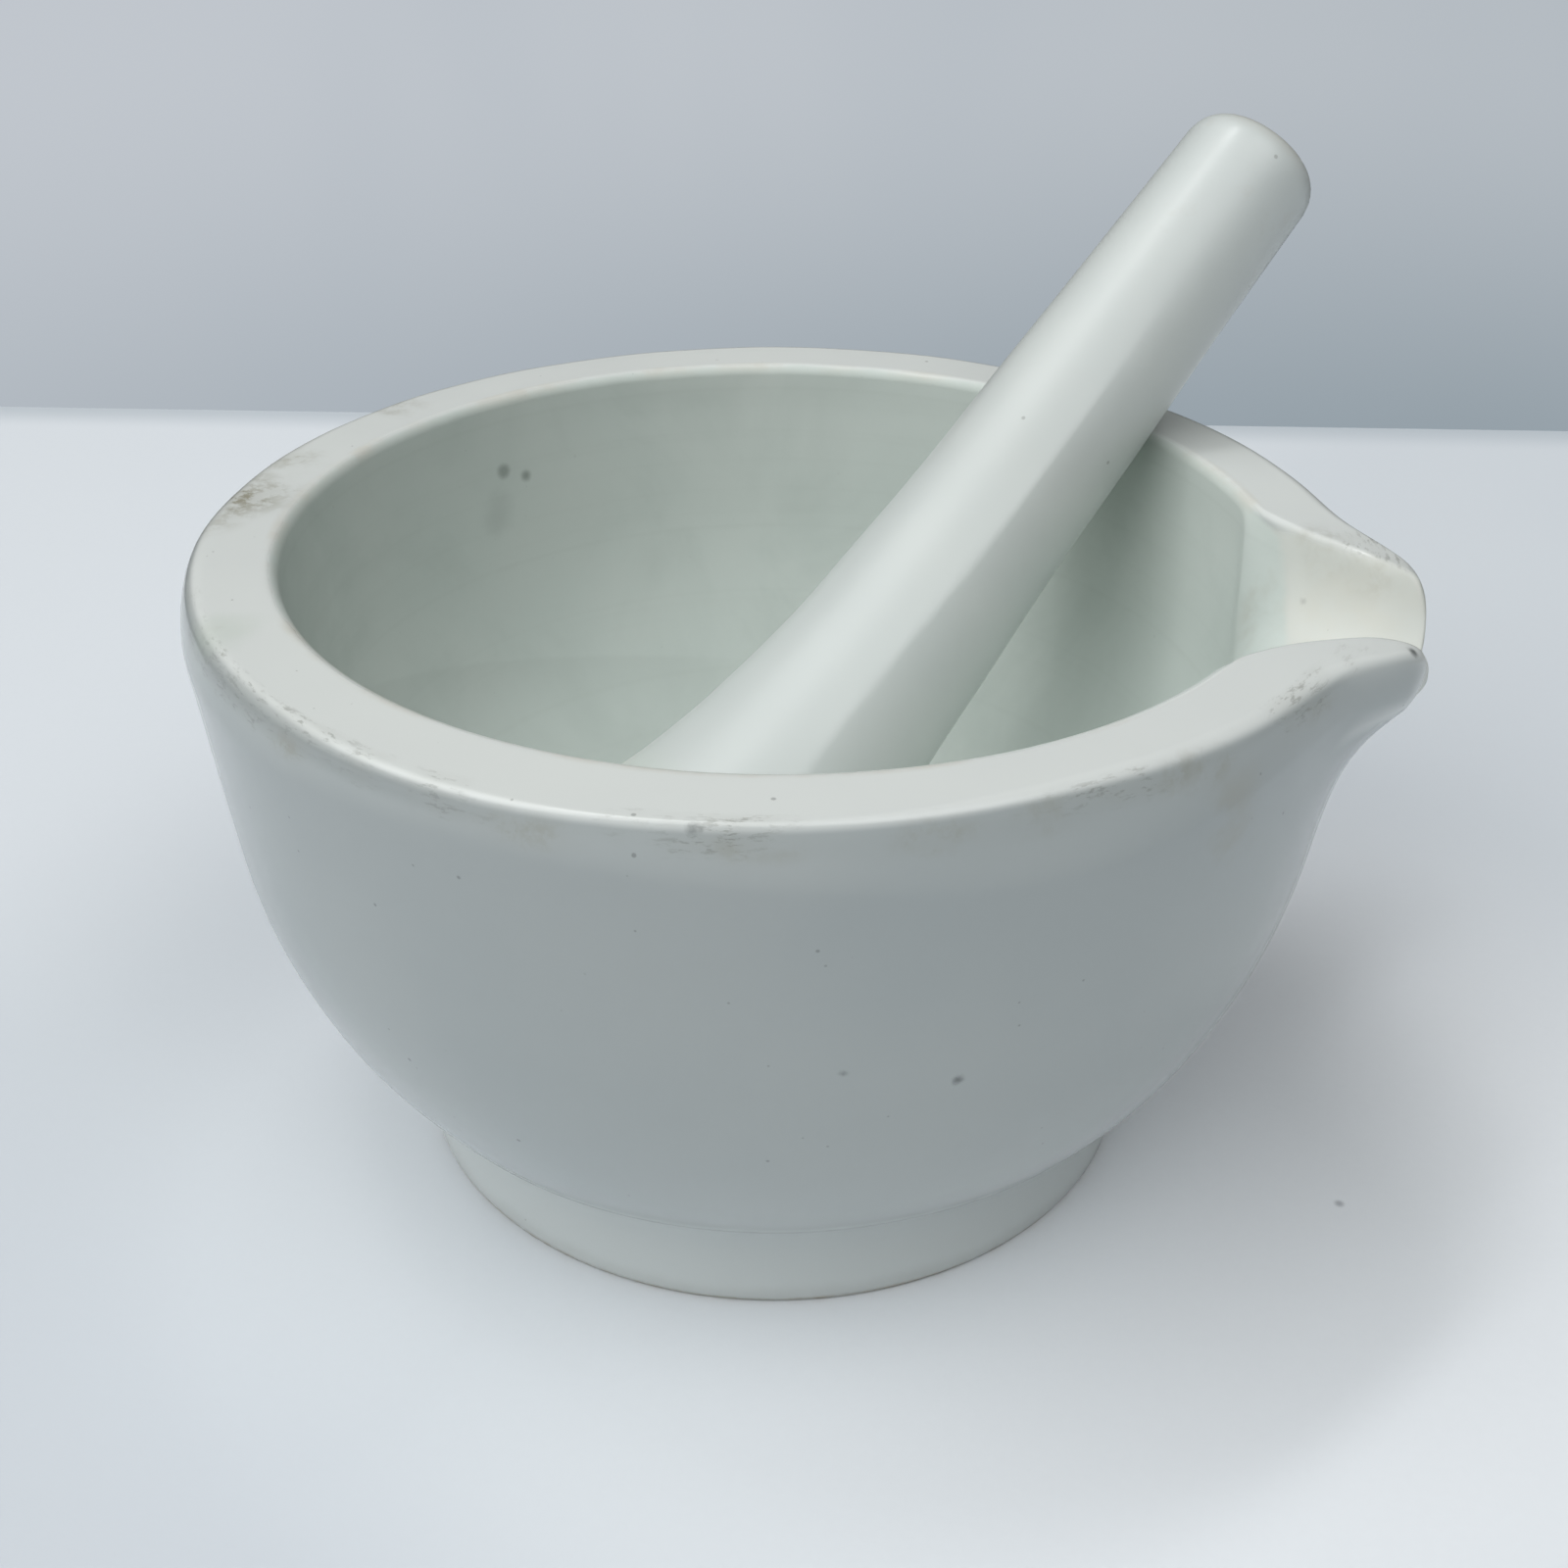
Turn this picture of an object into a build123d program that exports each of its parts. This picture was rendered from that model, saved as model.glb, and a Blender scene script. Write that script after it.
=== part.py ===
from build123d import *
from math import cos, degrees, exp, hypot, pi, radians, sin, sqrt, tan
import os

# Porcelain laboratory mortar with a pouring lip, and the pestle that leans in it.
# Millimetres. +Z is up, the foot stands on Z = 0, the body is round about the Z axis
# and the lip pours along +X.

# ---- mortar, outside ----
rim_height = 65.0           # top of the flat rim
belly_radius = 54.5         # the lower wall is part of a ball
belly_centre_height = 47.0
wall_lean = 6.4             # degrees from upright, from the belly up to the rim
rim_edge_radius = 2.0       # soft outer edge of the rim

# ---- mortar, foot ----
step_height = 14.0          # the belly ends here in a small step above the foot
step_width = 1.0
step_edge_radius = 0.8
neck_radius = 37.6          # narrowest place, under the step
neck_height = 6.5
foot_radius = 38.3
foot_edge_radius = 0.8
recess_radius = 31.0        # shallow hollow underneath, so it stands on a ring
recess_depth = 2.2
recess_slope = 1.5

# ---- mortar, bowl ----
mouth_radius = 47.2
bowl_lean = 8.0             # degrees from upright, the upper part of the bowl wall
floor_thickness = 10.0
mouth_edge_radius = 1.0

# ---- pouring lip ----
lip_reach = 7.9             # how far the lip is drawn out of the wall
lip_spread = 12.4           # degrees at which the lip has fallen to a third
lip_bluntness = 2.5         # 2 is a pointed lip, more is a blunter one
lip_fall = 10.2             # depth at which its underside has gone half way back
lip_root_depth = 39.5       # below this depth the wall is plain
throat_radius = 4.0         # rounding where the bowl wall turns into the channel

# channel of the lip: distance from the axis, half width at the rim, depth
channel_sections = [
    (27, 34.0, 10.5),
    (33, 30.6, 10.5),
    (38, 25.2, 10.5),
    (43, 18.4, 10.5),
    (48, 13.4, 9.9),
    (53, 10.2, 8.8),
    (58, 8.0, 8.0),
    (68, 7.6, 7.3),
]

# the lips dip towards the tip: distance from the axis, fall below the rim
lip_dip = [(50.5, -0.3), (57, 0.6), (60, 1.8), (61.3, 3.8), (62.1, 7.0), (62.8, 12.0)]

# ---- pestle ----
pestle_lean = 43.05         # degrees up from the table
pestle_bearing = 50.4       # degrees round from the lip
head_swing = 10.65          # degrees the head sits off the bottom of the bowl
head_bearing = 33.5         # degrees round from the lip that it sits away from
head_radius = 17.0
handle_reach = 94.5         # from the middle of the head to the top of the handle
shoulder = (12.0, 14.5)     # radius, distance from the middle of the head
neck = (9.7, 32.5)
handle = (8.5, 59.5)
handle_end_radius = 7.6
handle_end_corner = 3.4
handle_end_crown = 0.3
clearance = 0.33            # between the head and the bowl

os.makedirs("parts", exist_ok=True)

# ball at the bottom of the bowl, touching the floor and the leaning wall above it
bowl_angle = radians(bowl_lean)
bowl_height = rim_height - floor_thickness
bowl_radius = (mouth_radius * cos(bowl_angle) - bowl_height * sin(bowl_angle)) / (1 - sin(bowl_angle))
bowl_centre_height = floor_thickness + bowl_radius


def wall_radius(height):
    """Plain round wall: a ball below, a straight leaning wall above."""
    lean = radians(wall_lean)
    join_height = belly_centre_height - belly_radius * sin(lean)
    if height < join_height:
        return sqrt(belly_radius**2 - (belly_centre_height - height) ** 2)
    return belly_radius * cos(lean) + (height - join_height) * tan(lean)


def outline_radius(angle, height):
    """Wall with the lip drawn out of it, angle in degrees from the lip."""
    depth = rim_height - height
    if depth >= lip_root_depth:
        return wall_radius(height)
    fade = cos(pi / 2 * depth / lip_root_depth) ** 2
    share = exp(-abs(angle / lip_spread) ** lip_bluntness)
    return wall_radius(height) + lip_reach * fade * share / (1 + (depth / lip_fall) ** 4)


def outline_points(height):
    """Points round one level of the wall, closer together at the lip."""
    points = []
    for step in range(56):
        turn = 2 * pi * step / 56 - pi
        angle = turn - 0.75 * sin(turn)
        radius = outline_radius(degrees(angle), height)
        points.append((radius * cos(angle), radius * sin(angle)))
    return points


# ---- mortar ----
wall_levels = [14, 18, 22, 26, 30, 34, 38, 42, 45.5, 49, 52, 54.5, 57, 59, 61, 63, 65]

with BuildPart() as mortar:
    # wall, with the lip drawn out of it
    for level in wall_levels:
        with BuildSketch(Plane.XY.offset(level)):
            with BuildLine():
                Spline(*outline_points(level), periodic=True)
            make_face()
    loft()
    fillet(mortar.edges().group_by(Axis.Z)[-1], rim_edge_radius)

    # foot with its hollow neck
    step_radius = wall_radius(step_height) - step_width
    foot_edge_start = foot_radius - foot_edge_radius
    with BuildSketch(Plane.XZ):
        with BuildLine():
            Line((0, 0), (foot_edge_start, 0))
            RadiusArc((foot_edge_start, 0), (foot_radius, foot_edge_radius), -foot_edge_radius)
            Spline((foot_radius, foot_edge_radius), (neck_radius, neck_height),
                   (step_radius, step_height), tangents=[(0, 1), (1, 0.2)])
            Polyline((step_radius, step_height), (step_radius, step_height + 2),
                     (0, step_height + 2), (0, 0))
        make_face()
    revolve(axis=Axis.Z)
    step_edge = mortar.edges().sort_by_distance((wall_radius(step_height), 0, step_height))[0]
    fillet(step_edge, step_edge_radius)

    # recess underneath
    with BuildSketch(Plane.XZ):
        with BuildLine():
            Polyline((0, 0), (recess_radius, 0), (recess_radius - recess_slope, recess_depth),
                     (0, recess_depth), (0, 0))
        make_face()
    revolve(axis=Axis.Z, mode=Mode.SUBTRACT)

    # bowl
    over = rim_height + 1
    over_radius = mouth_radius + tan(bowl_angle)
    ball_top = (bowl_radius * cos(bowl_angle), bowl_centre_height - bowl_radius * sin(bowl_angle))
    with BuildSketch(Plane(origin=(0, 0, 0), x_dir=(-1, 0, 0), z_dir=(0, 1, 0))):
        with BuildLine():
            Polyline((0, floor_thickness), (0, over), (over_radius, over), ball_top)
            RadiusArc(ball_top, (0, floor_thickness), bowl_radius)
        make_face()
    revolve(axis=Axis.Z, mode=Mode.SUBTRACT)

    # channel of the lip, a U that narrows as it runs out
    for distance, half_width, depth in channel_sections:
        with BuildSketch(Plane.YZ.offset(distance)):
            with BuildLine():
                Polyline((-half_width, rim_height), (-half_width, rim_height + 4),
                         (half_width, rim_height + 4), (half_width, rim_height))
                EllipticalCenterArc((0, rim_height), half_width, depth, start_angle=180, arc_size=180)
            make_face()
    loft(mode=Mode.SUBTRACT)

    # dip of both lips towards the tip
    dip_points = [(distance, rim_height - fall) for distance, fall in lip_dip]
    with BuildSketch(Plane.XZ):
        with BuildLine():
            Spline(*dip_points)
            Polyline(dip_points[-1], (70, dip_points[-1][1]), (70, rim_height + 4),
                     (dip_points[0][0], rim_height + 4), dip_points[0])
        make_face()
    extrude(amount=25, both=True, mode=Mode.SUBTRACT)

    # rounding where the bowl wall turns into the channel
    throat_point = (mouth_radius, 0, rim_height - channel_sections[0][2])
    fillet(mortar.edges().sort_by_distance(throat_point)[0], throat_radius)

    # inner edge of the rim, all edges of both lips and the tip
    inner_edges = mortar.edges().group_by(Axis.Z)[-1].filter_by(
        lambda edge: hypot(edge.center().X, edge.center().Y) < 52)
    tip_edges = mortar.edges().filter_by(lambda edge: edge.center().X > 56)
    fillet(inner_edges + tip_edges, mouth_edge_radius)

mortar.part.label = "mortar"

# ---- pestle ----
lean = radians(pestle_lean)
bearing = radians(pestle_bearing)
swing = radians(head_swing)
head_turn = radians(head_bearing)
head_distance = bowl_radius - head_radius - clearance
head_centre = (
    -head_distance * sin(swing) * cos(head_turn),
    -head_distance * sin(swing) * sin(head_turn),
    bowl_centre_height - head_distance * cos(swing),
)
up_handle = (cos(lean) * cos(bearing), cos(lean) * sin(bearing), sin(lean))
across_handle = (sin(lean) * cos(bearing), sin(lean) * sin(bearing), -cos(lean))
sideways = (-sin(bearing), cos(bearing), 0)

with BuildPart() as pestle:
    # half profile: sketch X is the radius, sketch Y runs up the handle
    corner_start = handle_reach - handle_end_crown - handle_end_corner
    crown_radius = handle_end_radius - handle_end_corner
    crown_ball = (crown_radius**2 + handle_end_crown**2) / (2 * handle_end_crown)
    head_top = 1.0
    head_top_radius = sqrt(head_radius**2 - head_top**2)
    with BuildSketch(Plane(origin=head_centre, x_dir=across_handle,
                           z_dir=(-sideways[0], -sideways[1], 0))) as profile:
        with BuildLine():
            ThreePointArc((0, -head_radius),
                          (head_radius * cos(pi / 4), -head_radius * sin(pi / 4)),
                          (head_top_radius, head_top))
            Spline((head_top_radius, head_top), shoulder, neck, handle,
                   (handle_end_radius, corner_start),
                   tangents=[(-head_top / head_top_radius, 1), (-0.03, 1)])
            ThreePointArc((handle_end_radius, corner_start),
                          (handle_end_radius - handle_end_corner * (1 - cos(pi / 4)),
                           corner_start + handle_end_corner * sin(pi / 4)),
                          (crown_radius, corner_start + handle_end_corner))
            RadiusArc((crown_radius, handle_reach - handle_end_crown), (0, handle_reach), -crown_ball)
            Line((0, handle_reach), (0, -head_radius))
        make_face()
    revolve(axis=Axis(head_centre, up_handle))

pestle.part.label = "pestle"

export_step(mortar.part, "parts/mortar.step")
export_step(pestle.part, "parts/pestle.step")
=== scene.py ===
from math import atan2, cos, exp, floor, hypot, log, pi, radians, sin, sqrt, tan

import bpy
from mathutils import Matrix, Vector, kdtree, noise


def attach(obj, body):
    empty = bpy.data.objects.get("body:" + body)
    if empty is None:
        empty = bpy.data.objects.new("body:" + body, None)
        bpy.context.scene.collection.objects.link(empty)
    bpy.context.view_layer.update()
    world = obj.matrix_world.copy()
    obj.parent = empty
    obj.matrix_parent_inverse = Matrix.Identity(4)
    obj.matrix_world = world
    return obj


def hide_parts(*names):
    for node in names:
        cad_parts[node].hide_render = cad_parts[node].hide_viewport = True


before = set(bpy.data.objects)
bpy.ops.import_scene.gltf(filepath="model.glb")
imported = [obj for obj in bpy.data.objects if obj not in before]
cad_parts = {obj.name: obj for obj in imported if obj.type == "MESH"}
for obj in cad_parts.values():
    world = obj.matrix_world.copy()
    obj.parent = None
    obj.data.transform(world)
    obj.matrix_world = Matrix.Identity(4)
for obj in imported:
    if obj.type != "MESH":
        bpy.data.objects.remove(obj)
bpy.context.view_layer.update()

MM = 0.001

# ---------------------------------------------------------------- sizes, in millimetres
RIM = 65.0                      # height of the flat rim
BELLY_RADIUS = 54.5             # lower wall, part of a ball
BELLY_CENTRE = 47.0
WALL_LEAN = radians(6.4)
STEP = 14.4                     # the belly starts here, above the foot
MOUTH_RADIUS = 47.2
BOWL_LEAN = radians(8.0)
FLOOR = 10.0
BOWL_RADIUS = (MOUTH_RADIUS * cos(BOWL_LEAN) - (RIM - FLOOR) * sin(BOWL_LEAN)) / (1 - sin(BOWL_LEAN))
BOWL_CENTRE = FLOOR + BOWL_RADIUS
LIP_REACH, LIP_SPREAD, LIP_BLUNTNESS = 8.4, 12.3, 2.5
LIP_FALL, LIP_ROOT = 10.2, 39.4


# ---------------------------------------------------------------- small sums
def smooth(value, start, end):
    share = min(1.0, max(0.0, (value - start) / (end - start)))
    return share * share * (3 - 2 * share)


def table_value(table, place):
    """A smooth curve through the rows (place, value) of a table."""
    if place <= table[0][0]:
        return table[0][1]
    if place >= table[-1][0]:
        return table[-1][1]
    row = max(i for i in range(len(table) - 1) if table[i][0] <= place)
    (x0, y0), (x1, y1) = table[row], table[row + 1]

    def slope(i):
        if i == 0 or i == len(table) - 1:
            j = min(max(i, 1), len(table) - 1)
            return (table[j][1] - table[j - 1][1]) / (table[j][0] - table[j - 1][0])
        return (table[i + 1][1] - table[i - 1][1]) / (table[i + 1][0] - table[i - 1][0])
    width = x1 - x0
    t = (place - x0) / width
    return ((2 * t**3 - 3 * t**2 + 1) * y0 + (t**3 - 2 * t**2 + t) * width * slope(row)
            + (3 * t**2 - 2 * t**3) * y1 + (t**3 - t**2) * width * slope(row + 1))


def soft_least(a, b, blend):
    """The smaller of two heights, with a rounded change from one to the other."""
    near = max(blend - abs(a - b), 0.0) / blend
    return min(a, b) - near * near * blend / 4


# ---------------------------------------------------------------- mortar: shape of the walls
def plain_wall(height):
    join = BELLY_CENTRE - BELLY_RADIUS * sin(WALL_LEAN)
    if height < join:
        return sqrt(BELLY_RADIUS**2 - (BELLY_CENTRE - height) ** 2)
    return BELLY_RADIUS * cos(WALL_LEAN) + (height - join) * tan(WALL_LEAN)


def wall_radius(angle, height):
    """Outside wall with the lip drawn out of it, angle in degrees from the lip."""
    depth = RIM - height
    if depth >= LIP_ROOT:
        return plain_wall(height)
    fade = cos(pi / 2 * depth / LIP_ROOT) ** 2
    share = exp(-abs(angle / LIP_SPREAD) ** LIP_BLUNTNESS)
    return plain_wall(height) + LIP_REACH * fade * share / (1 + (depth / LIP_FALL) ** 4)


def bowl_wall(height):
    join = BOWL_CENTRE - BOWL_RADIUS * sin(BOWL_LEAN)
    if height < join:
        return sqrt(max(0.0, BOWL_RADIUS**2 - (BOWL_CENTRE - height) ** 2))
    return BOWL_RADIUS * cos(BOWL_LEAN) + (height - join) * tan(BOWL_LEAN)


# distance from the axis, and the half width or depth of the channel or the fall of its lips there
CHANNEL_WIDTH = [(27, 34.2), (33, 30.8), (38, 25.4), (43, 18.6), (48, 13.6), (53, 10.4), (58, 8.2), (68, 7.8)]
CHANNEL_DEPTH = [(27, 10.5), (43, 10.5), (48, 9.9), (53, 8.8), (58, 8.0), (68, 7.3)]
LIP_DIP = [(49, 0.0), (54, 0.15), (57, 0.5), (60, 1.4), (61.5, 3.4), (62.6, 7.0), (63.2, 12.0)]


def top_height(x, y):
    """Height of the rim, the lips and the channel."""
    rim = RIM - (table_value(LIP_DIP, x) if x > 49 else 0.0)
    if x < 24:
        return rim
    share = abs(y) / table_value(CHANNEL_WIDTH, x)
    channel = RIM - table_value(CHANNEL_DEPTH, x) * (1 - share**2.8)
    return soft_least(rim, channel, 1.6)


def settle(upper, lower, level):
    """Height at which a wall reaches the top surface; level(height) is the top there."""
    for _ in range(40):
        middle = (upper + lower) / 2
        if level(middle) > middle:
            lower = middle
        else:
            upper = middle
    return (upper + lower) / 2


def rounded(before, corner, after, count):
    """Points of a rounded corner, ends included."""
    first, last = before + (corner - before) * 0.56, after + (corner - after) * 0.56
    points = []
    for i in range(count + 1):
        t = i / count
        points.append(before * (1 - t) ** 3 + first * (3 * t * (1 - t) ** 2)
                      + last * (3 * t * t * (1 - t)) + after * t**3)
    return points


FOOT_PROFILE = [(0.0, 2.2), (10.0, 2.2), (20.0, 2.2), (27.0, 2.2), (29.0, 2.15), (29.8, 1.8), (30.6, 0.6), (31.0, 0.15),
                (31.5, 0.0), (34.0, 0.0), (37.0, 0.0), (37.55, 0.08), (37.95, 0.35), (38.15, 0.8), (38.1, 1.8),
                (37.9, 3.2), (37.72, 4.6), (37.62, 5.8), (37.65, 7.0), (37.85, 8.2), (38.25, 9.4), (38.9, 10.6),
                (39.8, 11.7), (40.9, 12.6), (41.7, 13.15), (42.4, 13.5), (42.9, 13.72), (43.3, 13.98), (43.55, 14.4)]
WALL_ROWS, BAND_ROWS, EDGE_ROWS, TOP_ROWS, INNER_ROWS, BOWL_ROWS = 34, 8, 7, 28, 8, 40
BAND_FALL = 2.0                 # the band under the rim's edge falls this much for each mm outwards


def rim_inset(angle):
    """How far the crisp edge of the flat rim lies inside the wall."""
    uneven = exp(-(((angle + 51) / 16) ** 2)) - 0.6 * exp(-(((angle + 102) / 20) ** 2))
    return (1.8 + uneven) * (1 - 0.62 * exp(-((angle / 17) ** 2)))


def edge_round(angle):
    """Rounding of the rim's outer edge: crisp at the front, soft elsewhere."""
    return 1.3 - 1.02 * exp(-(((angle + 80) / 27) ** 2))


def section(angle):
    """Points of the mortar's section at one angle from the lip, from under the foot to the floor of the bowl."""
    turn = radians(angle)
    out = Vector((cos(turn), sin(turn), 0))
    points = [out * radius + Vector((0, 0, height)) for radius, height in FOOT_PROFILE]

    def on_wall(height):
        return out * wall_radius(angle, height) + Vector((0, 0, height))

    def on_bowl(height):
        return out * bowl_wall(height) + Vector((0, 0, height))

    def above(point):
        return top_height(point.x, point.y)
    wall_top = settle(RIM, 50.0, lambda height: above(on_wall(height)))
    bowl_top = settle(RIM, 50.0, lambda height: above(on_bowl(height)))
    outer_corner, inner_corner = on_wall(wall_top), on_bowl(bowl_top)
    across = Vector((inner_corner.x - outer_corner.x, inner_corner.y - outer_corner.y, 0))
    span = across.length
    across.normalize()

    def on_top(distance):
        point = Vector((outer_corner.x, outer_corner.y, 0)) + across * distance
        point.z = top_height(point.x, point.y)
        return point
    inset, edge_size = rim_inset(angle), edge_round(angle) * min(1.0, rim_inset(angle) / 1.6)
    edge, knee = on_top(inset), on_wall(wall_top - inset * BAND_FALL)
    band_end = wall_top - inset * BAND_FALL - 1.8
    inner_round = 1.1 + 4.0 * smooth(RIM - bowl_top, 0.5, 9.0)
    bowl_start = bowl_top - inner_round
    for i in range(1, WALL_ROWS):
        points.append(on_wall(STEP + (band_end - STEP) * i / WALL_ROWS))
    before_edge = edge + (knee - edge).normalized() * edge_size
    points += rounded(on_wall(band_end), knee, before_edge, BAND_ROWS)
    points += rounded(before_edge, edge, on_top(inset + edge_size), EDGE_ROWS)[1:]
    top_start = inset + edge_size
    for i in range(1, TOP_ROWS):
        points.append(on_top(top_start + (span - top_start - inner_round) * i / TOP_ROWS))
    points += rounded(on_top(span - inner_round), inner_corner, on_bowl(bowl_start), INNER_ROWS)
    for i in range(1, BOWL_ROWS):
        height = FLOOR + (bowl_start - FLOOR) * (1 - sin(i / BOWL_ROWS * pi / 2))
        points.append(on_bowl(height))
    points.append(Vector((0, 0, FLOOR)))
    return points


# ---------------------------------------------------------------- shader sums
class Value:
    """One shader socket. Python sums on it add Math nodes."""

    def __init__(self, finish, socket):
        self.finish = finish
        self.socket = socket

    def maths(self, operation, *values):
        return self.finish.node("Math", {"operation": operation}, *values)

    def __add__(self, other):
        return self.maths("ADD", self, other)

    def __radd__(self, other):
        return self.maths("ADD", other, self)

    def __sub__(self, other):
        return self.maths("SUBTRACT", self, other)

    def __rsub__(self, other):
        return self.maths("SUBTRACT", other, self)

    def __mul__(self, other):
        return self.maths("MULTIPLY", self, other)

    def __rmul__(self, other):
        return self.maths("MULTIPLY", other, self)

    def __truediv__(self, other):
        return self.maths("DIVIDE", self, other)

    def __pow__(self, other):
        return self.maths("POWER", self, other)

    def __neg__(self):
        return self.maths("MULTIPLY", self, -1.0)

    def least(self, other):
        return self.maths("MINIMUM", self, other)

    def most(self, other):
        return self.maths("MAXIMUM", self, other)

    def root(self):
        return self.maths("SQRT", self)

    def rise(self, start, end):
        """0 below start and 1 above end, with a soft ramp; start above end makes it fall."""
        if start > end:
            return 1 - self.rise(end, start)
        return self.finish.node("MapRange", {"interpolation_type": "SMOOTHSTEP"}, self, start, end, 0.0, 1.0)


class Finish:
    """A material or world, and the one way its nodes are made."""

    def __init__(self, name, tree=None):
        if tree is None:
            self.material = bpy.data.materials.new(name)
            self.material.use_nodes = True
            tree = self.material.node_tree
        self.tree = tree
        tree.nodes.clear()

    def node(self, kind, settings=None, *values, out=0, **named):
        made = self.tree.nodes.new("ShaderNode" + kind)
        for setting, value in (settings or {}).items():
            if setting == "stops":
                ramp = made.color_ramp
                for place, colour in value[2:]:
                    ramp.elements.new(place)
                for element, (place, colour) in zip(ramp.elements, sorted(value)):
                    element.position = place
                    element.color = colour
            else:
                setattr(made, setting, value)
        for place, value in enumerate(values):
            self.join(value, made.inputs[place])
        for name, value in named.items():
            self.join(value, made.inputs[name.replace("_", " ")])
        return Value(self, made.outputs[out]) if len(made.outputs) else None

    def join(self, value, socket):
        if value is None:
            return
        if isinstance(value, Value):
            self.tree.links.new(value.socket, socket)
        else:
            socket.default_value = value

    def place(self):
        """Object coordinates, in metres."""
        return self.node("TexCoord", out=3)

    def parts(self, vector):
        split = self.node("SeparateXYZ", None, vector)
        return [Value(self, socket) for socket in split.socket.node.outputs]

    def noise(self, vector, scale, detail=2.0, roughness=0.5, distortion=0.0):
        return self.node("TexNoise", None, vector, Scale=scale, Detail=detail, Roughness=roughness,
                         Distortion=distortion)

    def blend(self, share, first, second):
        """Colour between two, share 0 to 1."""
        mixed = self.tree.nodes.new("ShaderNodeMix")
        mixed.data_type = "RGBA"
        self.join(share, mixed.inputs[0])
        self.join(first, mixed.inputs[6])
        self.join(second, mixed.inputs[7])
        return Value(self, mixed.outputs[2])

    def shell(self, shader, kind="OutputMaterial"):
        self.node(kind, None, shader)


def colour(red, green, blue):
    """Screen colour 0 to 255 as shader colour."""
    def straight(level):
        level = level / 255
        return level / 12.92 if level <= 0.04045 else ((level + 0.055) / 1.055) ** 2.4
    return (straight(red), straight(green), straight(blue), 1.0)


# ---------------------------------------------------------------- making pieces
def turned(name, profile, steps, centre=Vector((0, 0, 0)), across=Vector((1, 0, 0)), axis=Vector((0, 0, 1))):
    """A piece turned about an axis: its half profile of (radius, height) points is drawn out and spun."""
    places = [(centre + across * radius + axis * height) * MM for radius, height in profile]
    bpy.ops.object.select_all(action="DESELECT")
    bpy.ops.mesh.primitive_plane_add(size=0.001, location=(0, 0, 0))
    piece = bpy.context.object
    piece.name = name
    bpy.ops.object.mode_set(mode="EDIT")
    bpy.ops.mesh.select_all(action="SELECT")
    bpy.ops.mesh.merge(type="CENTER")
    bpy.ops.transform.translate(value=places[0])
    for start, end in zip(places, places[1:]):
        bpy.ops.mesh.extrude_vertices_move(TRANSFORM_OT_translate={"value": end - start})
    bpy.ops.mesh.select_all(action="SELECT")
    bpy.ops.mesh.spin(steps=steps, angle=2 * pi, center=centre * MM, axis=axis)
    bpy.ops.mesh.select_all(action="SELECT")
    bpy.ops.mesh.remove_doubles(threshold=2e-6)
    bpy.ops.object.mode_set(mode="OBJECT")
    return piece


def finish_piece(piece, node, body):
    """Faces outwards, smooth, and in the place of its solid."""
    bpy.ops.object.mode_set(mode="EDIT")
    bpy.ops.mesh.select_all(action="SELECT")
    bpy.ops.mesh.normals_make_consistent(inside=False)
    bpy.ops.object.mode_set(mode="OBJECT")
    bpy.ops.object.shade_smooth()
    bpy.ops.object.select_all(action="DESELECT")
    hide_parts(node)
    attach(piece, body)


# ---------------------------------------------------------------- mortar
def lip_angles():
    """Angles of the sections from the lip, closest where the lips curl."""
    half = [0.0]
    while half[-1] < 180:
        at = half[-1]
        half.append(at + (0.7 if at < 4 else 0.27 if at < 15 else 0.7 if at < 48 else 2.2))
    stretch = 180 / half[-1]
    half = [angle * (1 + (stretch - 1) * smooth(angle, 20, 180)) for angle in half]
    half[-1] = 180.0
    return half + [-angle for angle in reversed(half[1:-1])]


def shape_mortar():
    angles = lip_angles()
    steps = len(angles)
    plain = section(180.0)
    bowl_first = len(plain) - BOWL_ROWS
    profile = []
    for row, point in enumerate(plain):
        profile.append((max(-point.x, 0.0), point.z))
    profile[0], profile[-1] = (0.0, profile[0][1]), (0.0, profile[-1][1])
    mortar = turned("mortar_body", profile, steps)

    rows = kdtree.KDTree(len(profile))
    for row, (radius, height) in enumerate(profile):
        rows.insert((radius, height, 0.0), row)
    rows.balance()
    sections = [section(angle) for angle in angles]
    for vertex in mortar.data.vertices:
        place = vertex.co / MM
        row = rows.find((hypot(place.x, place.y), place.z, 0.0))[1]
        turn = round(atan2(place.y, place.x) / (2 * pi) * steps) % steps
        point = sections[turn][row]
        wave = noise.noise(point * 0.035) + 0.5 * noise.noise(point * 0.09 + Vector((7, 3, 1)))
        if 0.5 < point.z and row < bowl_first:
            point = point - Vector((point.x, point.y, 0)).normalized() * (0.13 + 0.13 * wave)
        if point.z > 50:
            point = point - Vector((0, 0, (0.12 + 0.12 * wave) * smooth(point.z, 50, 62)))
        vertex.co = point * MM
    finish_piece(mortar, "mortar", "mortar")
    return mortar


# ---------------------------------------------------------------- pestle
PESTLE_LEAN, PESTLE_BEARING = radians(43.05), radians(50.4)
HEAD_SWING, HEAD_BEARING = radians(10.65), radians(33.5)
HEAD_RADIUS = 17.0
HEAD_DISTANCE = BOWL_RADIUS - HEAD_RADIUS - 0.33
HANDLE_REACH, HANDLE_END, HANDLE_CORNER, HANDLE_CROWN = 94.5, 7.6, 3.4, 0.3
NECK = [(-4.4, 16.42), (-2.5, 16.0), (-0.5, 15.4), (1.5, 14.75), (4.0, 13.95), (8.0, 12.9), (12.0, 12.0),
        (16.0, 11.35), (20.0, 10.8), (26.0, 10.2), (32.5, 9.8), (40.0, 9.3), (48.0, 8.9), (59.5, 8.6), (75.0, 8.1), (90.8, 7.65)]
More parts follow.
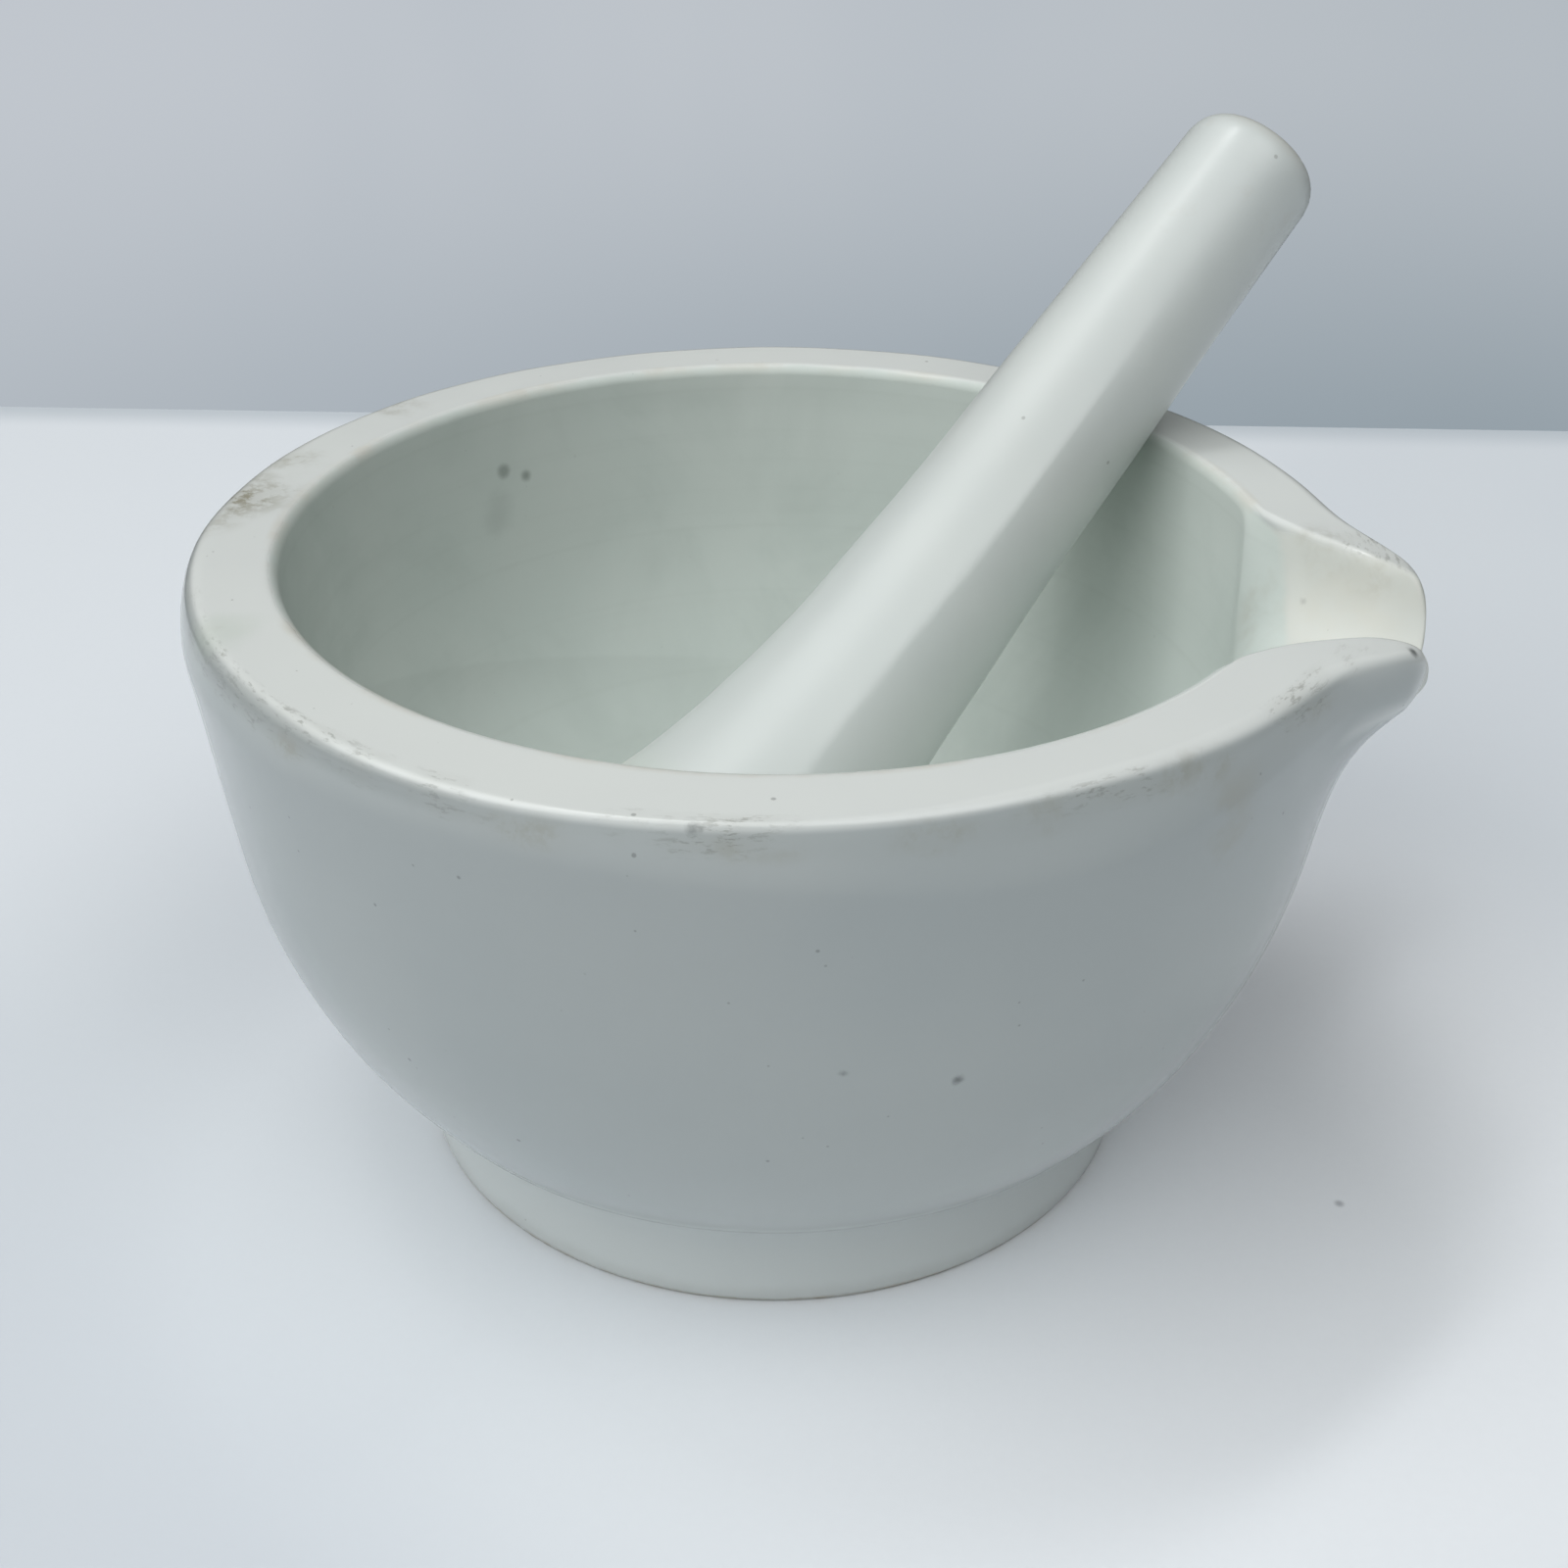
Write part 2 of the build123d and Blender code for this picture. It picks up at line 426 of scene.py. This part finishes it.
# a low ridge along the handle: where it runs, its height, and how far it reaches to either side
RIDGE_TURN, RIDGE_SKEW = radians(-123), radians(8)
RIDGE_RISE, RIDGE_NEAR, RIDGE_FAR = 0.9, radians(11.5), radians(60)
HANDLE_SHIFT, SHIFT_TURN = 0.42, radians(-46)


def pestle_line():
    """Middle of the head, and the direction up the handle."""
    head_centre = Vector((-HEAD_DISTANCE * sin(HEAD_SWING) * cos(HEAD_BEARING),
                          -HEAD_DISTANCE * sin(HEAD_SWING) * sin(HEAD_BEARING),
                          BOWL_CENTRE - HEAD_DISTANCE * cos(HEAD_SWING)))
    ahead = Vector((cos(PESTLE_BEARING), sin(PESTLE_BEARING), 0))
    upright = Vector((0, 0, 1))
    return head_centre, ahead * cos(PESTLE_LEAN) + upright * sin(PESTLE_LEAN)


def shape_pestle():
    head_centre, axis = pestle_line()
    sideways = Vector((-sin(PESTLE_BEARING), cos(PESTLE_BEARING), 0))
    across = sideways.cross(axis)
    profile = []
    lowest = 75.0
    for i in range(31):
        turn = radians(lowest * i / 30)
        profile.append((HEAD_RADIUS * sin(turn), -HEAD_RADIUS * cos(turn)))
    for i in range(1, 61):
        height = -4.4 + 95.2 * (i / 60) ** 1.3
        profile.append((table_value(NECK, height), height))
    for i in range(1, 11):
        turn = radians(90 * i / 10)
        profile.append((HANDLE_END - HANDLE_CORNER * (1 - cos(turn)), 90.8 + (HANDLE_CORNER) * sin(turn)))
    crown = HANDLE_END - HANDLE_CORNER
    for radius in (3.0, 1.6, 0.0):
        profile.append((radius, HANDLE_REACH - HANDLE_CROWN * (radius / crown) ** 2))
    profile[0] = (0.0, profile[0][1])
    pestle = turned("pestle_body", profile, 144, head_centre, across, axis)
    for vertex in pestle.data.vertices:
        point = vertex.co / MM - head_centre
        height = point.dot(axis)
        out = point - axis * height
        if out.length > 0.5:
            wave = noise.noise(axis * height * 0.05 + out.normalized() * 0.5)
            round_it = atan2(out.dot(sideways), out.dot(across))
            turn = (round_it - RIDGE_TURN + RIDGE_SKEW * smooth(height, 50, 12) + pi) % (2 * pi) - pi
            reach = RIDGE_NEAR if turn < 0 else RIDGE_FAR
            ridge = exp(-sqrt(turn**2 + 0.0009) / reach) * (1 - (turn / pi) ** 2)
            lift = RIDGE_RISE * ridge * smooth(height, -4, 16) * smooth(height, 78, 40)
            lift += HANDLE_SHIFT * cos(round_it - SHIFT_TURN) * smooth(height, 12, 30)
            lift -= (0.08 + 0.08 * wave) * smooth(height, -10, 12)
            vertex.co = vertex.co + out.normalized() * lift * MM
    finish_piece(pestle, "pestle", "pestle")
    return pestle


mortar_body = shape_mortar()
pestle_body = shape_pestle()


# ---------------------------------------------------------------- finishes
def millimetres(*place):
    return tuple(value * MM for value in place)


def patch(finish, place, centre, size, ragged=None, flat=1.0):
    """1 near a centre, falling to 0 at the size in mm; ragged noise frays its outline, flat squashes it upright."""
    offset = finish.node("VectorMath", {"operation": "SUBTRACT"}, place, millimetres(*centre))
    offset = finish.node("VectorMath", {"operation": "MULTIPLY"}, offset, (1, 1, flat))
    distance = finish.node("VectorMath", {"operation": "LENGTH"}, offset, out=1) / (size * MM)
    if ragged is not None:
        distance = distance + (ragged - 0.5) * 1.6
    return distance.rise(1.0, 0.1)


def specks(finish, place, spacing, size, share):
    """Small round specks, in a share of the cells of a scattered grid; sizes in mm."""
    cells = {"Scale": 1 / (spacing * MM)}
    near = finish.node("TexVoronoi", None, place, **cells)
    pick = finish.parts(finish.node("TexVoronoi", None, place, out=1, **cells))[0]
    return near.rise(size / spacing, size / spacing * 0.5) * pick.rise(1 - share, 1 - share + 0.02)


# centre in mm, size in mm, strength
BOWL_SPOTS = [((-38.7, 24.8, 56.8), 1.05, 0.50), ((-37.0, 27.0, 55.6), 0.95, 0.58), ((-38.9, 23.0, 51.6), 3.6, 0.14)]
WALL_SPECKS = [((27.8, -45.8, 38.6), 0.8, 0.7), ((9.0, -55.0, 64.6), 1.0, 0.7), ((59.4, -9.2, 63.6), 0.9, 0.8),
               ((50.2, 8.9, 58.9), 0.6, 0.5), ((57.1, 7.1, 60.8), 0.6, 0.4), ((-36.4, -43.8, 63.4), 0.8, 0.7),
               ((19.6, -50.6, 41.0), 0.6, 0.5), ((-30.0, -39.4, 24.0), 0.6, 0.5)]
# centre in mm, size in mm, strength, how much flatter than long
EDGE_STAINS = [((-54.2, -7.0, 65.0), 8.0, 0.95, 1.0), ((-54.6, 3.0, 65.0), 7.0, 0.8, 1.0),
               ((-53.5, -14.0, 65.0), 5.0, 0.5, 1.0), ((-48.5, 20.0, 65.0), 4.0, 0.5, 1.0), ((-41.0, -37.0, 65.0), 4.0, 0.3, 1.0),
               ((51.0, 11.5, 64.2), 4.0, 0.35, 1.0), ((56.5, 8.8, 63.4), 3.5, 0.25, 1.0),
               ((-36.2, -43.2, 63.0), 4.0, 0.35, 2.5), ((-26.6, -49.0, 62.8), 5.0, 0.35, 3.0),
               ((13.2, -54.4, 62.9), 6.0, 0.5, 3.0), ((-3.9, -56.0, 62.8), 7.0, 0.45, 3.0),
               ((25.6, -49.4, 63.0), 5.0, 0.5, 2.8), ((34.4, -43.2, 63.1), 5.5, 0.55, 2.6),
               ((43.2, -34.2, 63.1), 5.0, 0.5, 2.6), ((51.4, -20.4, 63.1), 4.0, 0.4, 2.2)]


def mortar_porcelain():
    """Clear glaze outside, on the rim and in the lip, with painted shade making it darker on the outer wall and painted
    light making it lighter on the rim and low on the belly; matte ground porcelain in the bowl.
    """
    finish = Finish("mortar_porcelain")
    place = finish.place()
    x, y, z = [part / MM for part in finish.parts(place)]
    radius = (x * x + y * y).root()
    rise = z - BOWL_CENTRE
    from_ball = (x * x + y * y + rise * rise).root()
    cloud = finish.noise(place, 28.0, 3.0)
    mottle = finish.noise(place, 110.0, 4.0, 0.6)
    grain = finish.noise(place, 700.0, 3.0, 0.6)
    frayed = finish.noise(place, 420.0, 4.0, 0.7)

    # painted shade: the outer wall's glaze is a darker copy of the rim's, for a wall that faces away from the light
    glaze = finish.blend(cloud.rise(0.3, 0.7), colour(175, 182, 182), colour(180, 186, 185))
    ground = finish.blend(cloud.rise(0.3, 0.7), colour(201, 210, 205), colour(207, 214, 209))
    aside = y.maths("ABSOLUTE", y)
    half_width = 7.7 + 0.075 * (60.5 - x).most(0.0) ** 1.7
    in_channel = (half_width - aside).rise(-0.8, 0.4) * x.rise(38, 42) * z.rise(49, 52)
    matte = (from_ball + (mottle - 0.5) * 1.6 - in_channel * 0.9).rise(48.9, 47.9)
    # painted light: the rim top and the lips' tops get a lighter copy of the glaze, where they face up into the light
    lip_top = x.rise(49, 54) * z.rise(56.5, 58.5) * (x + aside * 0.89).rise(69.2, 67.6)
    rim_painted_lighter = z.rise(63.9, 64.6).most(lip_top)
    glaze = finish.blend(rim_painted_lighter, glaze, finish.blend(cloud.rise(0.3, 0.7), colour(216, 220, 218), colour(220, 224, 221)))
    # painted light: the glaze low on the belly and on the foot is a lighter copy, for light bounced up from the table
    glaze = finish.blend(z.rise(17, 12), glaze, colour(206, 212, 211))
    channel_glaze = finish.blend(mottle, colour(203, 207, 201), colour(209, 212, 206))
    glaze = finish.blend(in_channel, glaze, channel_glaze)
    base = finish.blend(matte, glaze, ground)
    smoky = finish.noise(place, 42.0, 4.0, 0.65, 0.5).rise(0.42, 0.72) * matte
    base = finish.blend(smoky * 0.30, base, colour(176, 187, 181))

    # rings left by the pestle low in the bowl, and higher up a painted shadow edge of the front rim
    rings = finish.noise(finish.node("CombineXYZ", None, mottle * 0.25, mottle * 0.25, z * 0.55), 1.0, 2.0)
    base = finish.blend(rings.rise(0.52, 0.75) * matte * 0.12, base, colour(170, 178, 170))
    lip_tint = radius.rise(47, 52) * z.rise(53, 57) * in_channel * mottle.rise(0.35, 0.7)
    base = finish.blend(lip_tint * 0.20, base, colour(200, 192, 168))
    throat = x.rise(43.5, 45.5) * x.rise(49.0, 46.5) * z.rise(51, 54) * z.rise(63, 60) * mottle.rise(0.42, 0.62)
    base = finish.blend(throat * 0.35, base, colour(164, 162, 148))
    # painted shadow: a faint band, darker just below a tilted line and fading downwards, where the front rim's shadow
    # ends
    tilted = z + y * 0.3
    painted_rim_shadow_edge = tilted.rise(33, 41.4) * tilted.rise(42.0, 41.3) * x.rise(-8, -24) * matte
    base = finish.blend(painted_rim_shadow_edge * 0.10, base, colour(150, 158, 152))

    # brownish tint where the rim turns into the bowl, and at its crisp outer edge; scuffs on the band under the edge,
    # painted shade on the rounded left edge and, with some wear, on that band
    mouth = from_ball.rise(47.4, 48.3) * from_ball.rise(49.6, 48.8) * z.rise(61, 64)
    base = finish.blend(mouth * mottle.rise(0.4, 0.7) * 0.30, base, colour(186, 176, 152))
    worn_and_shaded_band = radius.rise(53.4, 54.2) * z.rise(61.8, 63.4) * (1 - in_channel)
    patchy = finish.noise(place, 75.0, 3.0, 0.6).rise(0.46, 0.62)
    around = y.maths("ARCTAN2", y, x)
    streaks = finish.noise(finish.node("CombineXYZ", None, around * 34.0, z * 2.2, radius * 2.2), 1.0, 4.0, 0.7)
    scuffs = worn_and_shaded_band * patchy * streaks.rise(0.52, 0.64) * (around + 1.0).maths("ABSOLUTE", around + 1.0).rise(1.9, 1.3)
    base = finish.blend(scuffs * 0.45, base, colour(112, 114, 106))
    # painted shade: the rounded outer edge on the left side is darkened to dull its brightness
    painted_shade_left_edge = radius.rise(53.0, 54.0) * z.rise(62.2, 63.6) * z.rise(64.75, 64.4) * x.rise(6, -20)
    base = finish.blend(painted_shade_left_edge * 0.55, base, colour(150, 156, 156))
    # partly wear and partly painted shade: the band under the rim's edge is darkened a little in patches all round
    base = finish.blend(worn_and_shaded_band * patchy * 0.10, base, colour(150, 148, 136))
    speckled = mottle.rise(0.38, 0.62) * (0.30 + 0.70 * frayed.rise(0.42, 0.58))
    for centre, size, strength, flat in EDGE_STAINS:
        stain = patch(finish, place, centre, size, cloud, flat) * speckled
        base = finish.blend(stain * strength, base, colour(150, 147, 130))
    base = finish.blend(patch(finish, place, (-39.6, -34.9, 65.0), 4.5, mottle) * 0.25, base, colour(186, 200, 184))

    for centre, size, strength in BOWL_SPOTS:
        base = finish.blend(patch(finish, place, centre, size, mottle) * strength, base, colour(92, 102, 96))
    for centre, size, strength in WALL_SPECKS:
        base = finish.blend(patch(finish, place, centre, size, frayed) * strength, base, colour(70, 74, 74))
    iron = specks(finish, place, 4.6, 0.26, 0.3) * (1 - matte * 0.8)
    base = finish.blend(iron * 0.45, base, colour(96, 98, 96))
    fine_iron = specks(finish, place, 2.3, 0.16, 0.25) * (1 - matte * 0.8)
    base = finish.blend(fine_iron * 0.4, base, colour(110, 112, 108))

    # bare ring that it stands on, and greyed glaze just above it
    bare = (z + (mottle - 0.5) * 0.5).rise(0.75, 0.35) * radius.rise(30.2, 31.0)
    base = finish.blend(bare * grain.rise(0.2, 0.7), base, colour(178, 172, 158))
    foot_bottom_greying = (z + (mottle - 0.5) * 3).rise(2.6, 0.6)
    base = finish.blend(foot_bottom_greying * 0.2, base, colour(160, 162, 156))

    smear = finish.noise(place, 45.0, 3.0, 0.6).rise(0.45, 0.75)
    roughness = 0.14 + smear * 0.07 + scuffs * 0.04
    roughness = roughness + (0.33 - roughness) * in_channel
    roughness = roughness + (0.62 - roughness) * matte.most(bare)
    ripple = finish.noise(place, 95.0, 2.0, 0.4)
    height = ripple * 0.05 * (1 - matte) + grain * (matte.most(bare) * 0.018 + 0.001) - scuffs * 0.012 - iron * 0.01
    bump = finish.node("Bump", None, Strength=1.0, Distance=MM, Height=height)
    finish.shell(finish.node("BsdfPrincipled", None, Base_Color=base, Roughness=roughness, Normal=bump,
                             Specular_IOR_Level=0.38))
    return finish.material


def pestle_porcelain():
    """Glazed handle, with a matte grinding head."""
    finish = Finish("pestle_porcelain")
    place = finish.place()
    head, axis = pestle_line()
    offset = finish.node("VectorMath", {"operation": "SUBTRACT"}, place, tuple(head * MM))
    along = finish.node("VectorMath", {"operation": "DOT_PRODUCT"}, offset, tuple(axis), out=1) / MM
    cloud = finish.noise(place, 30.0, 3.0)
    mottle = finish.noise(place, 120.0, 4.0, 0.6)
    grain = finish.noise(place, 800.0, 3.0, 0.6)
    matte = (along + (mottle - 0.5) * 4).rise(6.0, 0.0)
    glaze = finish.blend(cloud.rise(0.3, 0.7), colour(204, 210, 208), colour(209, 214, 211))
    ground = finish.blend(mottle.rise(0.3, 0.7), colour(200, 208, 202), colour(209, 214, 207))
    base = finish.blend(matte, glaze, ground)
    grime = finish.noise(place, 260.0, 4.0, 0.7).rise(0.56, 0.72)
    base = finish.blend(grime * along.rise(60, 92) * 0.10, base, colour(176, 168, 148))
    base = finish.blend(grime * matte * 0.25, base, colour(160, 164, 156))
    base = finish.blend(along.rise(91.5, 94.0) * mottle.rise(0.4, 0.6) * 0.16, base, colour(196, 182, 158))
    iron = specks(finish, place, 4.2, 0.28, 0.22)
    base = finish.blend(iron * 0.4, base, colour(104, 104, 98))
    smear = finish.noise(place, 50.0, 3.0, 0.6).rise(0.4, 0.75)
    roughness = 0.29 + smear * 0.08
    roughness = roughness + (0.6 - roughness) * matte
    ripple = finish.noise(place, 80.0, 2.0, 0.4)
    height = ripple * 0.07 * (1 - matte) + grain * (matte * 0.02 + 0.001) - iron * 0.01
    bump = finish.node("Bump", None, Strength=1.0, Distance=MM, Height=height)
    finish.shell(finish.node("BsdfPrincipled", None, Base_Color=base, Roughness=roughness, Normal=bump))
    return finish.material


mortar_body.data.materials.append(mortar_porcelain())
pestle_body.data.materials.append(pestle_porcelain())


# ---------------------------------------------------------------- table
TABLE_EDGE_TURN, TABLE_EDGE = radians(13.3), 0.2074       # direction and distance of its back edge
along_edge = Vector((cos(TABLE_EDGE_TURN), sin(TABLE_EDGE_TURN), 0))
away = Vector((-sin(TABLE_EDGE_TURN), cos(TABLE_EDGE_TURN), 0))


def table_cover():
    """White card, a little uneven, greyer towards the right; painted light makes it paler round the foot, in the
    mortar's shadow and towards the back left, painted shade makes it greyer towards the front left and softly darkens
    its back edge.
    """
    finish = Finish("table_cover")
    place = finish.place()
    cloud = finish.noise(place, 7.0, 2.0)
    grain = finish.noise(place, 900.0, 3.0, 0.6)
    reach = finish.node("VectorMath", {"operation": "DOT_PRODUCT"}, place, tuple(away), out=1)
    base = finish.blend(cloud.rise(0.25, 0.75), colour(214, 220, 226), colour(218, 224, 229))
    x, y, _ = finish.parts(place)
    from_foot = (x * x + y * y).root() / MM
    to_side = (x - 0.042) / MM
    to_back = (y + 0.008) / MM
    from_shade = (to_side * to_side + to_back * to_back).root()
    # painted light: paler round the foot and in the mortar's shadow to its right, filling in its contact shadow and
    # cast shadow
    painted_fill_light = (from_foot.rise(78, 38) * 0.55).most(from_shade.rise(96, 40))
    # painted light: paler towards the back left, on the side the light comes from
    base = finish.blend((y * 0.6 - x).rise(0.06, 0.13) * 0.7, base, colour(228, 233, 238))
    # painted shade: greyer towards the front left
    base = finish.blend((y + x * 0.5).rise(-0.05, -0.095) * 0.45, base, colour(196, 202, 210))
    base = finish.blend(painted_fill_light, base, colour(240, 244, 248))
    base = finish.blend(grain * 0.06, base, colour(190, 196, 205))
    # painted shade and blur: darker along the back edge, fading into the cloth's tone
    base = finish.blend(reach.rise(TABLE_EDGE - 0.012, TABLE_EDGE) * 0.6, base, colour(176, 186, 194))
    crumb = patch(finish, place, (62.4, -7.8, 0.0), 0.7, cloud)
    base = finish.blend(crumb * 0.5, base, colour(110, 116, 124))
    bump = finish.node("Bump", None, Strength=0.3, Distance=MM * 0.05, Height=grain)
    finish.shell(finish.node("BsdfPrincipled", None, Base_Color=base, Roughness=0.6, Normal=bump))
    return finish.material


bpy.ops.object.select_all(action="DESELECT")
bpy.ops.mesh.primitive_plane_add(size=1.0, location=(0, 0, 0))
table = bpy.context.object
table.name = "table"
corners = [away * -2.0 - along_edge * 2.5, away * -2.0 + along_edge * 2.5,
           away * TABLE_EDGE - along_edge * 2.5, away * TABLE_EDGE + along_edge * 2.5]
for vertex, corner in zip(table.data.vertices, corners):
    vertex.co = corner
table.data.materials.append(table_cover())

# ---------------------------------------------------------------- room: soft light, and a grey cloth behind with painted shade on it
# soft patches of light: bearing from the lip and height above the table in degrees, and strength
SOFT_LIGHTS = [(-165, 58, 1.90), (-120, 58, 1.25), (-30, 58, 2.15), (150, 58, 0.45), (-120, 30, 1.65)]

world = bpy.data.worlds.new("room")
bpy.context.scene.world = world
world.use_nodes = True
room = Finish("room", world.node_tree)
looking = room.node("TexCoord", out=0)
sky = 0.02
for bearing, height, strength in SOFT_LIGHTS:
    level = cos(radians(height))
    towards = (level * cos(radians(bearing)), level * sin(radians(bearing)), sin(radians(height)))
    near = room.node("VectorMath", {"operation": "DOT_PRODUCT"}, looking, towards, out=1)
    sky = near.rise(0.85, 1.0) * strength + sky
to_right, _, upwards = room.parts(looking)
folds = room.node("VectorMath", {"operation": "MULTIPLY"}, looking, (1.0, 1.0, 0.35))
folds = room.noise(folds, 5.0, 2.0, 0.45, 0.4)
# painted shade on the cloth: darker lower down and towards the right, lighter to the left, with painted light and shade
# for its folds
lower = upwards.rise(-0.16, -0.40)
cloth = room.blend(lower, colour(188, 194, 200), colour(146, 158, 166))
cloth = room.blend(to_right.rise(-0.28, 0.12) * (0.14 + lower * 0.25), cloth, colour(132, 146, 156))
cloth = room.blend(to_right.rise(0.0, -0.7) * 0.45, cloth, colour(200, 205, 213))
cloth = room.blend(folds.rise(0.35, 0.75) * 0.30, cloth, colour(168, 178, 188))
camera_ray = room.node("LightPath", out=0)
seen = room.node("Background", None, cloth, 1.0)
lit = room.node("Background", None, (0.99, 1.0, 1.0, 1.0), sky)
room.shell(room.node("MixShader", None, camera_ray, lit, seen), "OutputWorld")


def lamp(name, size, power, place, aim, tint):
    """A flat lamp that shines towards a point."""
    light = bpy.data.lights.new(name, "AREA")
    light.shape = "RECTANGLE"
    light.size, light.size_y = size
    light.energy = power
    light.color = tint
    holder = bpy.data.objects.new(name, light)
    holder.location = place
    holder.rotation_mode = "QUATERNION"
    holder.rotation_quaternion = (Vector(aim) - Vector(place)).to_track_quat("-Z", "Y")
    bpy.context.collection.objects.link(holder)
    return holder


lamp("ceiling_lamp", (0.5, 0.1), 2.0, (-0.25, 0.15, 1.2), (0, 0, 0.04), (1.0, 1.0, 1.0))

# ---------------------------------------------------------------- camera
eye = bpy.data.cameras.new("camera")
camera = bpy.data.objects.new("camera", eye)
bpy.context.collection.objects.link(camera)
eye.lens = 45.0
eye.sensor_width = 36.0
eye.clip_start = 0.01
eye.clip_end = 20.0
stand = Vector((46.28, -169.31, 139.37)) * MM
aim = Vector((0.986, -0.119, 36.0)) * MM
tilt = Matrix.Rotation(radians(0.313), 4, "Z").to_quaternion()
camera.rotation_mode = "QUATERNION"
camera.location = stand
camera.rotation_quaternion = (aim - stand).to_track_quat("-Z", "Y") @ tilt
bpy.context.scene.camera = camera
bpy.context.scene.view_settings.view_transform = "Standard"
